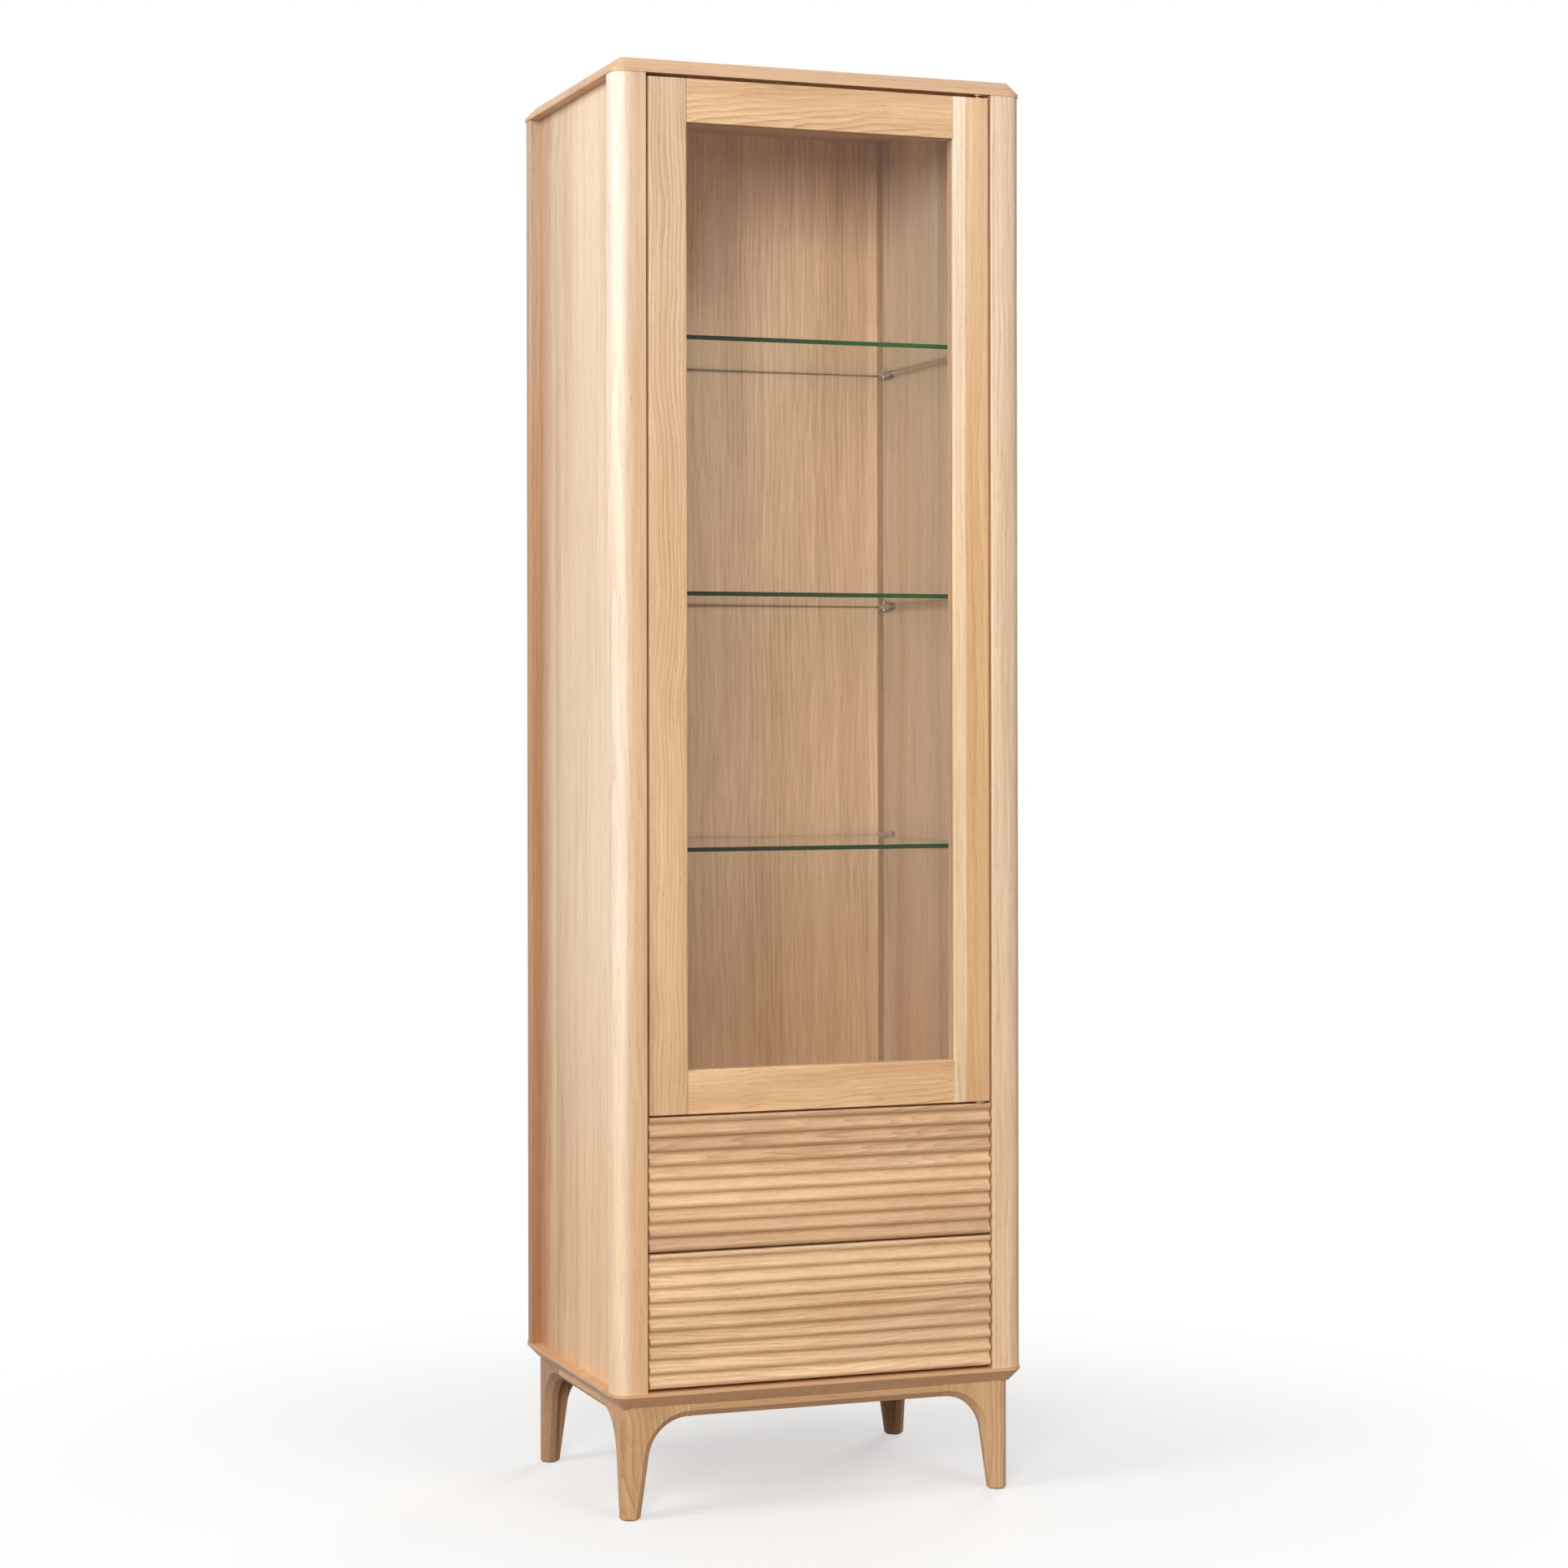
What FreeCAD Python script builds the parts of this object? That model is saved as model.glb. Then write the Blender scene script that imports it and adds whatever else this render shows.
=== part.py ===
"""Tall oak display cabinet: glazed door, three glass shelves, two fluted drawers, bracket legs.

Millimetres. X runs to the right, Y to the back, Z up; the origin is on the floor under the centre.
Every sub-part is an object of one document, bound to the sizes in its spreadsheet.
"""
import FreeCAD, Part
import math
import os
import re

import Sketcher
from FreeCAD import Rotation, Vector

SIZES = {
    # carcass
    "overall_height": 2000,
    "case_width": 606,
    "case_depth": 450,
    "panel_thick": 21,
    "panel_overhang": 1.5,
    "panel_flat": 4.5,
    "corner_radius": 20,
    "post_width": 47,
    "post_depth": 35,
    "post_arris": 2,
    "side_recess": 15,
    "side_thick": 20,
    "side_tongue": 8,
    "back_thick": 9,
    "back_inset": 3,
    "back_rebate": 10,
    "floor_thick": 18,
    "floor_gap": 2,
    # legs and aprons
    "leg_height": 155,
    "leg_inset": 15.5,
    "foot_width": 27,
    "knee_width": 47,
    "bracket_width": 104,
    "ear_thick": 18,
    "leg_curve": 58,
    "leg_round": 14,
    "foot_ease": 2.5,
    "apron_height": 18.5,
    "apron_thick": 20,
    "apron_setback": 0.8,
    "edge_chamfer": 9,
    # door
    "door_setback": 1,
    "door_thick": 22,
    "door_gap": 3,
    "door_top_gap": 5,
    "door_bottom_gap": 3.5,
    "door_round": 3,
    "stile_width": 55,
    "rail_height": 60,
    "frame_arris": 1.5,
    "frame_rebate": 10,
    "glass_depth": 6,
    "glass_thick": 4,
    "glass_clear": 1,
    # door pivots
    "pivot_edge": 14,
    "pivot_face": 9,
    "pin_radius": 3,
    "pin_depth": 11,
    "running_fit": 0.05,
    "bush_wall": 2,
    "bush_length": 12,
    "bush_flange": 0.6,
    "bush_brim": 2,
    "plate_thick": 2,
    "plate_width": 18,
    "plate_length": 45,
    "plate_lift": 0.5,
    # drawers
    "drawer_height": 184,
    "drawer_gap": 3,
    "drawer_low_gap": 4.5,
    "front_thick": 22,
    "flute_pitch": 19.5,
    "flute_depth": 6,
    "flute_start": 3,
    "box_lift": 12,
    "box_drop": 32,
    "box_wall": 12,
    "box_back_gap": 46,
    "bottom_thick": 6,
    "bottom_lift": 12,
    "bottom_tongue": 6,
    # drawer slides
    "slide_space": 12.8,
    "slide_wall": 1.2,
    "slide_fit": 0.3,
    "slide_reveal": 1,
    "slide_height": 45,
    "middle_height": 36,
    "inner_height": 26,
    "inner_lip": 6.8,
    "race_width": 3,
    "slide_setback": 6,
    "slide_tail": 14,
    "cleat_height": 60,
    # push latches
    "latch_width": 16,
    "latch_height": 24,
    "latch_length": 60,
    "latch_reach": 6,
    "plunger_radius": 4,
    "plunger_stem": 24,
    "plunger_head": 2.5,
    "plunger_brim": 1.5,
    "plunger_fit": 0.1,
    "plunger_room": 5,
    "latch_rest": 0.3,
    "strike_radius": 8,
    "strike_thick": 1.2,
    # shelves and fittings
    "shelf_thick": 6,
    "shelf_gap": 2,
    "shelf_setback": 41,
    "shelf_back_gap": 4,
    "shelf_arris": 0.8,
    "lower_bay_extra": 9,
    "support_margin": 15,
    "support_front": 24,
    "flange_radius": 9,
    "flange_thick": 3,
    "neck_radius": 4.5,
    "jaw_radius": 8,
    "jaw_wall": 4,
    "jaw_reach": 12,
    "jaw_play": 0.2,
    "cam_radius": 7.5,
    "cam_depth": 12,
    "cam_proud": 0.8,
    "cam_drop": 35,
    "cam_margin": 18,
    "cam_slot": 1.6,
}

# Planes of the case that several sub-parts share.
CASE_LOW = "(leg_height + panel_thick)"
CASE_TOP = "(overall_height - panel_thick)"
POST_IN = "(case_width / 2 - post_width)"
POST_BACK = "(case_depth / 2 - post_depth)"
SIDE_OUT = "(case_width / 2 - side_recess)"
SIDE_IN = "(case_width / 2 - side_recess - side_thick)"
BACK_FACE = "(case_depth / 2 - back_inset - back_thick)"
FACADE = "(door_setback - case_depth / 2)"
LEG_X = "(case_width / 2 - leg_inset)"
LEG_Y = "(case_depth / 2 - leg_inset)"
# Levels of the facade, from the lower drawer up to the door.
LOWER_LOW = f"({CASE_LOW} + drawer_low_gap)"
UPPER_LOW = f"({LOWER_LOW} + drawer_height + drawer_gap)"
FLOOR_TOP = f"({UPPER_LOW} + drawer_height + plate_lift)"
DOOR_LOW = f"({UPPER_LOW} + drawer_height + door_bottom_gap)"
DOOR_TOP = f"({CASE_TOP} - door_top_gap)"
# Door frame: outer edge of the stiles, inner edge and back face.
DOOR_EDGE = f"({POST_IN} - door_gap)"
STILE_IN = f"({DOOR_EDGE} - stile_width)"
DOOR_BACK = f"({FACADE} + door_thick)"
GLASS_FRONT = f"({FACADE} + glass_depth)"
GLASS_BACK = f"({GLASS_FRONT} + glass_thick)"
PIVOT_X = f"({DOOR_EDGE} - pivot_edge)"
PIVOT_Y = f"({FACADE} + pivot_face)"
# Drawer boxes: outer half width, front and back of the box.
BOX_SIDE = f"({POST_IN} - slide_space)"
BOX_FRONT = f"({FACADE} + front_thick)"
BOX_BACK = f"({BACK_FACE} - box_back_gap)"

# Small fittings that repeat are many-sided instead of round.
FITTING_SIDES = 12

doc = FreeCAD.newDocument("display_cabinet")
sheet = doc.addObject("Spreadsheet::Sheet", "Sizes")
nodes = []


def fill_sheet():
    """Write each driving size to a cell and give the cell its alias."""
    for row, (alias, number) in enumerate(SIZES.items(), 1):
        sheet.set(f"A{row}", alias)
        sheet.set(f"B{row}", str(number))
        sheet.setAlias(f"B{row}", alias)
    doc.recompute()


def size(alias):
    return float(sheet.get(alias))


def bind(thing, prop, formula):
    """Tie a property to a formula whose words are aliases of the sheet."""
    named = re.sub(r"[a-z_]{2,}", lambda word: f"Sizes.{word.group()}", formula)
    thing.setExpression(prop, named)


def keep(thing, label):
    """Hand in an object as the sub-part with this name."""
    thing.Label = label
    nodes.append(thing)
    return thing


# Solids from primitives


def block(name, x, y, z):
    """Board between two planes in each direction, each pair as (low, high) formulas."""
    board = doc.addObject("Part::Box", name)
    for prop, axis, (low, high) in zip(("Length", "Width", "Height"), "xyz", (x, y, z)):
        bind(board, prop, f"({high}) - ({low})")
        bind(board, f"Placement.Base.{axis}", low)
    return board


def rod(name, start, along, length, radius, sides=0):
    """Bar from a start point along one of the axes, such as "+x" or "-y": round, or with so many sides."""
    bar = doc.addObject("Part::Prism" if sides else "Part::Cylinder", name)
    if sides:
        bar.Polygon = sides
    toward = {"x": Vector(1, 0, 0), "y": Vector(0, 1, 0), "z": Vector(0, 0, 1)}[along[1]]
    sign = -1 if along[0] == "-" else 1
    bar.Placement.Rotation = Rotation(Vector(0, 0, 1), toward * sign)
    bind(bar, "Circumradius" if sides else "Radius", radius)
    bind(bar, "Height", length)
    for axis, formula in zip("xyz", start):
        bind(bar, f"Placement.Base.{axis}", formula)
    return bar


def cut(name, base, *tools):
    part = doc.addObject("Part::Cut", name)
    part.Base = base
    part.Tool = tools[0] if len(tools) == 1 else group(f"{name}_tools", tools)
    return part


def fuse(name, *pieces):
    part = doc.addObject("Part::MultiFuse", name)
    part.Shapes = list(pieces)
    return part


def group(name, pieces):
    part = doc.addObject("Part::Compound", name)
    part.Links = list(pieces)
    return part


# Solids from sketches


def new_body(name, base=("0", "0", "0"), turn=0):
    """Body at a place given by formulas, turned about Z by so many degrees."""
    body = doc.addObject("PartDesign::Body", name)
    body.Placement.Rotation = Rotation(Vector(0, 0, 1), turn)
    for axis, formula in zip("xyz", base):
        bind(body, f"Placement.Base.{axis}", formula)
    return body


def sketch_on(body, role):
    sketch = body.newObject("Sketcher::SketchObject", f"{body.Name}_sketch")
    plane = next(item for item in body.Origin.OriginFeatures if item.Role == role)
    sketch.AttachmentSupport = (plane, "")
    sketch.MapMode = "FlatFace"
    return sketch


def outline(body, role, corners):
    """Closed polygon on an origin plane; each corner is a pair of formulas."""
    sketch = sketch_on(body, role)
    count = len(corners)
    turn = 2 * math.pi / count
    start = [Vector(math.cos(turn * i), math.sin(turn * i), 0) * 100 for i in range(count)]
    for i in range(count):
        sketch.addGeometry(Part.LineSegment(start[i], start[(i + 1) % count]), False)
    for i in range(count):
        sketch.addConstraint(Sketcher.Constraint("Coincident", i, 2, (i + 1) % count, 1))
    for i, corner in enumerate(corners):
        for kind, formula in zip(("DistanceX", "DistanceY"), corner):
            index = sketch.addConstraint(Sketcher.Constraint(kind, -1, 1, i, 1, 1.0))
            bind(sketch, f"Constraints[{index}]", formula)
    return sketch


def pad(body, sketch, length, midplane=False, reverse=False):
    feature = body.newObject("PartDesign::Pad", f"{body.Name}_pad")
    feature.Profile = sketch
    feature.Midplane = midplane
    feature.Reversed = reverse
    bind(feature, "Length", length)
    doc.recompute()
    return feature


def pocket_through(body, sketch):
    """Cut a profile right through, to both sides of its plane."""
    before = body.Shape.Volume
    feature = body.newObject("PartDesign::Pocket", f"{body.Name}_pocket")
    feature.Profile = sketch
    feature.Type = "ThroughAll"
    feature.Midplane = True
    doc.recompute()
    if not body.Shape.Volume < before:
        raise RuntimeError(f"{body.Name}: a pocket cuts nothing")
    return feature


def ease(body, kind, prop, amount, chosen):
    """Fillet or chamfer the edges of the tip whose sample points all pass a test."""
    base = body.Tip
    names = []
    for number, edge in enumerate(base.Shape.Edges, 1):
        middle = (edge.FirstParameter + edge.LastParameter) / 2
        points = [edge.valueAt(t) for t in (edge.FirstParameter, middle, edge.LastParameter)]
        if chosen(points):
            names.append(f"Edge{number}")
    if not names:
        raise RuntimeError(f"{body.Name}: no edge found to ease")
    feature = body.newObject(f"PartDesign::{kind}", f"{body.Name}_{kind.lower()}")
    feature.Base = (base, names)
    bind(feature, prop, amount)
    doc.recompute()
    return feature


def fillet(body, radius, chosen):
    return ease(body, "Fillet", "Radius", radius, chosen)


def chamfer(body, width, chosen):
    return ease(body, "Chamfer", "Size", width, chosen)


def same(a, b):
    return abs(a - b) < 1e-4


def upright_at(x, y):
    """Test for a vertical edge at this place in the body."""
    return lambda points: all(same(p.x, x) and same(p.y, y) for p in points)


def at_level(z):
    """Test for an edge that lies at this height in the body."""
    return lambda points: all(same(p.z, z) for p in points)


# Carcass


def end_panel(label, low, bevel_level):
    """Top or bottom panel: rounded corners and a wide bevel along one face."""
    body = new_body(label, ("0", "0", low))
    half_x = "case_width / 2 + panel_overhang"
    half_y = "case_depth / 2 + panel_overhang"
    corners = [(f"{sx} * ({half_x})", f"{sy} * ({half_y})")
               for sx, sy in ((-1, -1), (1, -1), (1, 1), (-1, 1))]
    pad(body, outline(body, "XY_Plane", corners), "panel_thick")
    reach_x = size("case_width") / 2 + size("panel_overhang")
    reach_y = size("case_depth") / 2 + size("panel_overhang")
    fillet(body, "corner_radius + panel_overhang",
           lambda points: all(same(abs(p.x), reach_x) and same(abs(p.y), reach_y) for p in points))
    chamfer(body, "panel_thick - panel_flat", at_level(bevel_level))
    keep(body, label)


def post(label, sx, sy):
    """Corner post, grooved for the side panel; a back post is rebated for the back panel."""
    rebated = sy > 0
    front = [("0", "0"), ("post_width", "0")]
    if rebated:
        seat = "post_width - back_rebate"
        depth = "back_inset + back_thick"
        front = [("0", "0"), (seat, "0"), (seat, depth), ("post_width", depth)]
    groove_end = "side_recess + side_thick"
    groove_floor = "post_depth - side_tongue"
    section = front + [
        ("post_width", "post_depth"), (groove_end, "post_depth"), (groove_end, groove_floor),
        ("side_recess", groove_floor), ("side_recess", "post_depth"), ("0", "post_depth")]
    corners = [(f"{sx} * (case_width / 2 - ({u}))", f"{sy} * (case_depth / 2 - ({v}))")
               for u, v in section]
    body = new_body(label, ("0", "0", CASE_LOW))
    pad(body, outline(body, "XY_Plane", corners), f"{CASE_TOP} - {CASE_LOW}")
    outer_x = sx * size("case_width") / 2
    outer_y = sy * size("case_depth") / 2
    fillet(body, "corner_radius", upright_at(outer_x, outer_y))
    step_y = outer_y - sy * size("post_depth")
    fillet(body, "post_arris", upright_at(outer_x, step_y))
    if not rebated:
        fillet(body, "post_arris", upright_at(outer_x - sx * size("post_width"), outer_y))
    keep(body, label)


def cam_places():
    """Y formula and Z formula of each cam lock on one side panel."""
    edge = f"({POST_BACK} - cam_margin)"
    for level in (f"{CASE_TOP} - cam_drop", f"{CASE_LOW} + cam_drop"):
        for across in (f"-{edge}", "0", edge):
            yield across, level


def side_panels_and_cams():
    cams = []
    for side, sx, into in (("left", -1, "-x"), ("right", 1, "+x")):
        panel_x = sorted_pair(sx, SIDE_IN, SIDE_OUT)
        reach = f"{POST_BACK} + side_tongue"
        panel = block(f"side_{side}_board", panel_x, (f"-({reach})", reach), (CASE_LOW, CASE_TOP))
        bores = []
        for number, (y, z) in enumerate(cam_places(), 1):
            name = f"cam_{side}_{number}"
            bores.append(rod(f"{name}_bore", (f"{sx} * {SIDE_IN}", y, z), into, "cam_depth", "cam_radius",
                             FITTING_SIDES))
            face = f"{sx} * ({SIDE_IN} - cam_proud)"
            barrel = rod(f"{name}_barrel", (face, y, z), into, "cam_depth + cam_proud", "cam_radius",
                         FITTING_SIDES)
            slot_x = sorted_pair(sx, f"({SIDE_IN} - cam_proud)", f"({SIDE_IN} + cam_slot)")
            upright = block(f"{name}_upright", slot_x, (f"{y} - cam_slot / 2", f"{y} + cam_slot / 2"),
                            (f"{z} - cam_radius / 2", f"{z} + cam_radius / 2"))
            level = block(f"{name}_level", slot_x, (f"{y} - cam_radius / 2", f"{y} + cam_radius / 2"),
                          (f"{z} - cam_slot / 2", f"{z} + cam_slot / 2"))
            cams.append(cut(name, barrel, upright, level))
        keep(cut(f"side_{side}", panel, *bores), f"side_panel_{side}")
    keep(group("cams", cams), "cam_locks")


def sorted_pair(sx, inner, outer):
    """Low and high X formulas of a slab between two distances from the middle plane."""
    if sx > 0:
        return (inner, outer)
    return (f"-({outer})", f"-({inner})")


def display_floor():
    """Board between showcase and drawers, notched round the four posts."""
    front = f"({DOOR_BACK} + floor_gap)"
    right = [(POST_IN, front), (POST_IN, f"-{POST_BACK}"), (SIDE_IN, f"-{POST_BACK}"),
             (SIDE_IN, POST_BACK), (POST_IN, POST_BACK), (POST_IN, BACK_FACE)]
    left = [(f"-{x}", y) for x, y in reversed(right)]
    body = new_body("display_floor", ("0", "0", f"{FLOOR_TOP} - floor_thick"))
    pad(body, outline(body, "XY_Plane", right + left), "floor_thick")
    keep(body, "display_floor")


def leg(label, sx, sy, turn):
    """Bracket leg: tapered foot with a hollow curve up to an ear along each side of the case."""
    body = new_body(label, (f"{sx} * {LEG_X}", f"{sy} * {LEG_Y}", "0"), turn)
    shoulder = "leg_height - apron_height"
    profile = [("0", "0"), ("foot_width", "0"), ("knee_width", shoulder), ("bracket_width", shoulder),
               ("bracket_width", "leg_height"), ("0", "leg_height")]
    pad(body, outline(body, "XZ_Plane", profile), "bracket_width", reverse=True)
    hollow = [("foot_width", "0"), ("bracket_width", "0"), ("bracket_width", shoulder),
              ("knee_width", shoulder)]
    pocket_through(body, outline(body, "YZ_Plane", hollow))
    inside = [("ear_thick", "foot_width"), ("foot_width", "ear_thick"), ("bracket_width", "ear_thick"),
              ("bracket_width", "bracket_width"), ("ear_thick", "bracket_width")]
    pocket_through(body, outline(body, "XY_Plane", inside))
    knee = size("knee_width")
    knee_level = size("leg_height") - size("apron_height")
    fillet(body, "leg_curve", lambda points: at_level(knee_level)(points) and (
        all(same(p.x, knee) for p in points) or all(same(p.y, knee) for p in points)))
    fillet(body, "leg_round", upright_at(0, 0))
    chamfer(body, "edge_chamfer", lambda points: lower_edge(points, "x", "y") or lower_edge(points, "y", "x"))
    chamfer(body, "foot_ease", at_level(0))
    keep(body, label)


def lower_edge(points, along, across):
    """Test for the tapered and curved edges that bound a leg's outer face from below."""
    on_face = all(same(getattr(p, across), 0) for p in points)
    upright = same(getattr(points[0], along), getattr(points[-1], along))
    at_end = at_level(0)(points) or at_level(size("leg_height"))(points)
    return on_face and not upright and not at_end


def apron(label, place, turn, length):
    """Rail between two legs, chamfered like them along its lower outer edge."""
    body = new_body(label, place + ("leg_height - apron_height",), turn)
    section = [("0", "apron_height"), ("0", "edge_chamfer"), ("edge_chamfer", "0"),
               ("apron_thick", "0"), ("apron_thick", "apron_height")]
    pad(body, outline(body, "YZ_Plane", section), length, midplane=True)
    keep(body, label)


def carcass():
    end_panel("top_panel", CASE_TOP, size("panel_thick"))
    end_panel("bottom_panel", "leg_height", 0)
    for depth_name, sy in (("front", -1), ("back", 1)):
        for side, sx in (("left", -1), ("right", 1)):
            post(f"post_{depth_name}_{side}", sx, sy)
    side_panels_and_cams()
    seat = f"{POST_IN} + back_rebate"
    keep(block("back_board", (f"-({seat})", seat), (BACK_FACE, f"{BACK_FACE} + back_thick"),
               (CASE_LOW, CASE_TOP)), "back_panel")
    display_floor()
    leg("leg_front_left", -1, -1, 0)
    leg("leg_front_right", 1, -1, 90)
    leg("leg_back_right", 1, 1, 180)
    leg("leg_back_left", -1, 1, 270)
    long_run = f"2 * ({LEG_X} - bracket_width)"
    short_run = f"2 * ({LEG_Y} - bracket_width)"
    apron("apron_front", ("0", f"apron_setback - {LEG_Y}"), 0, long_run)
    apron("apron_right", (f"{LEG_X} - apron_setback", "0"), 90, short_run)
    apron("apron_back", ("0", f"{LEG_Y} - apron_setback"), 180, long_run)
    apron("apron_left", (f"apron_setback - {LEG_X}", "0"), 270, short_run)


# Showcase


def shelf_level(number):
    """Height of a shelf's middle plane, counted down from the top panel."""
    return f"({CASE_TOP} - {number} * ({CASE_TOP} - {FLOOR_TOP} - lower_bay_extra) / 4)"


def glass_shelf(label, level):
    half = f"({POST_IN} - shelf_gap)"
    front = "(shelf_setback - case_depth / 2)"
    back = f"({BACK_FACE} - shelf_back_gap)"
    body = new_body(label, ("0", "0", f"{level} - shelf_thick / 2"))
    corners = [(f"-{half}", front), (half, front), (half, back), (f"-{half}", back)]
    pad(body, outline(body, "XY_Plane", corners), "shelf_thick")
    chamfer(body, "shelf_arris", lambda points: at_level(0)(points) or at_level(size("shelf_thick"))(points))
    keep(body, label)


def shelf_support(name, sx, y, level):
    """Clamp on a side panel: wall flange, neck and a slotted jaw that grips the glass."""
    into = "-x" if sx > 0 else "+x"
    edge = f"({POST_IN} - shelf_gap)"
    jaw_back = f"({edge} + jaw_wall)"
    wall = (f"{sx} * {SIDE_IN}", y, level)
    flange = rod(f"{name}_flange", wall, into, "flange_thick", "flange_radius", FITTING_SIDES)
    neck = rod(f"{name}_neck", wall, into, f"{SIDE_IN} - {edge}", "neck_radius", FITTING_SIDES)
    jaw = rod(f"{name}_jaw", (f"{sx} * {jaw_back}", y, level), into, "jaw_wall + jaw_reach", "jaw_radius",
              FITTING_SIDES)
    slot = block(f"{name}_slot", sorted_pair(sx, f"({edge} - jaw_reach)", edge),
                 (f"{y} - jaw_radius", f"{y} + jaw_radius"),
                 (f"{level} - shelf_thick / 2", f"{level} + shelf_thick / 2 + jaw_play"))
    return cut(name, fuse(f"{name}_solid", flange, neck, jaw), slot)


def shelves():
    rear = f"({POST_BACK} - support_margin)"
    fore = "(shelf_setback + support_front - case_depth / 2)"
    for number, place in enumerate(("upper", "middle", "lower"), 1):
        level = shelf_level(number)
        glass_shelf(f"glass_shelf_{place}", level)
        supports = []
        for side, sx in (("left", -1), ("right", 1)):
            for end, y in (("front", fore), ("back", rear)):
                supports.append(shelf_support(f"support_{place}_{side}_{end}", sx, y, level))
        keep(group(f"supports_{place}", supports), f"shelf_supports_{place}")


# Door


def stile(side, sx):
    """Upright of the door frame, rebated on its inner back edge for the glass."""
    seat = "stile_width - frame_rebate"
    section = [("0", "0"), ("stile_width", "0"), ("stile_width", "glass_depth"), (seat, "glass_depth"),
               (seat, "door_thick"), ("0", "door_thick")]
    corners = [(f"{sx} * ({DOOR_EDGE} - ({a}))", f"{FACADE} + {b}") for a, b in section]
    body = new_body(f"stile_{side}", ("0", "0", DOOR_LOW))
    pad(body, outline(body, "XY_Plane", corners), f"{DOOR_TOP} - {DOOR_LOW}")
    edge_x = sx * (size("case_width") / 2 - size("post_width") - size("door_gap"))
    front_y = size("door_setback") - size("case_depth") / 2
    fillet(body, "door_round", lambda points: upright_at(edge_x, front_y)(points) or upright_at(
        edge_x, front_y + size("door_thick"))(points))
    fillet(body, "frame_arris", upright_at(edge_x - sx * size("stile_width"), front_y))
    return body


def door_rail(label, low, rebate_at_top):
    """Cross rail: its front stops at the stiles and its back runs on into their rebates."""
    body = new_body(label, ("0", FACADE, low))
    front = [("0", "0"), ("glass_depth", "0"), ("glass_depth", "rail_height"), ("0", "rail_height")]
    pad(body, outline(body, "YZ_Plane", front), f"2 * {STILE_IN}", midplane=True)
    foot, head = ("0", "rail_height - frame_rebate") if rebate_at_top else ("frame_rebate", "rail_height")
    rear = [("glass_depth", foot), ("door_thick", foot), ("door_thick", head), ("glass_depth", head)]
    pad(body, outline(body, "YZ_Plane", rear), f"2 * ({STILE_IN} + frame_rebate)", midplane=True)
    level = size("rail_height") if rebate_at_top else 0
    fillet(body, "frame_arris", lambda points: all(same(p.y, 0) and same(p.z, level) for p in points))
    keep(body, label)


def glazing():
    """Door glass in its rebate, and the beads that hold it from behind."""
    low = f"({DOOR_LOW} + rail_height)"
    high = f"({DOOR_TOP} - rail_height)"
    grip = "frame_rebate - glass_clear"
    keep(block("pane", (f"-({STILE_IN} + {grip})", f"{STILE_IN} + {grip}"), (GLASS_FRONT, GLASS_BACK),
               (f"{low} - ({grip})", f"{high} + ({grip})")), "door_glass")
    seat = f"({STILE_IN} + frame_rebate)"
    depth = (GLASS_BACK, DOOR_BACK)
    beads = [block("bead_top", (f"-{seat}", seat), depth, (high, f"{high} + frame_rebate")),
             block("bead_bottom", (f"-{seat}", seat), depth, (f"{low} - frame_rebate", low)),
             block("bead_left", (f"-{seat}", f"-{STILE_IN}"), depth, (low, high)),
             block("bead_right", (STILE_IN, seat), depth, (low, high))]
    keep(group("beads", beads), "glazing_beads")


def pivot_plate(label, level, away, pin_length):
    """Steel pivot leaf that runs back from the door axis, with its pin."""
    low, high = (level, f"{level} + plate_thick") if away == "+z" else (f"{level} - plate_thick", level)
    leaf = block(f"{label}_leaf", (f"{PIVOT_X} - plate_width / 2", f"{PIVOT_X} + plate_width / 2"),
                 (PIVOT_Y, f"{PIVOT_Y} + plate_length"), (low, high))
    nose = rod(f"{label}_nose", (PIVOT_X, PIVOT_Y, low), "+z", "plate_thick", "plate_width / 2")
    pin = rod(f"{label}_pin", (PIVOT_X, PIVOT_Y, level), away, pin_length, "pin_radius")
    keep(fuse(f"{label}_solid", leaf, nose, pin), label)


def pivot_bush(name, level, inward):
    """Flanged bush in an end of the hinge stile; the flange lies outside the stile."""
    outward = "-z" if inward == "+z" else "+z"
    bore = "pin_radius + running_fit"
    shell = "pin_radius + running_fit + bush_wall"
    sleeve = rod(f"{name}_sleeve", (PIVOT_X, PIVOT_Y, level), inward, "bush_length", shell)
    flange = rod(f"{name}_flange", (PIVOT_X, PIVOT_Y, level), outward, "bush_flange", f"{shell} + bush_brim")
    far = f"{level} - bush_flange" if inward == "+z" else f"{level} + bush_flange"
    hole = rod(f"{name}_hole", (PIVOT_X, PIVOT_Y, far), inward, "bush_length + bush_flange", bore)
    return cut(name, fuse(f"{name}_solid", sleeve, flange), hole)


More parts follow.
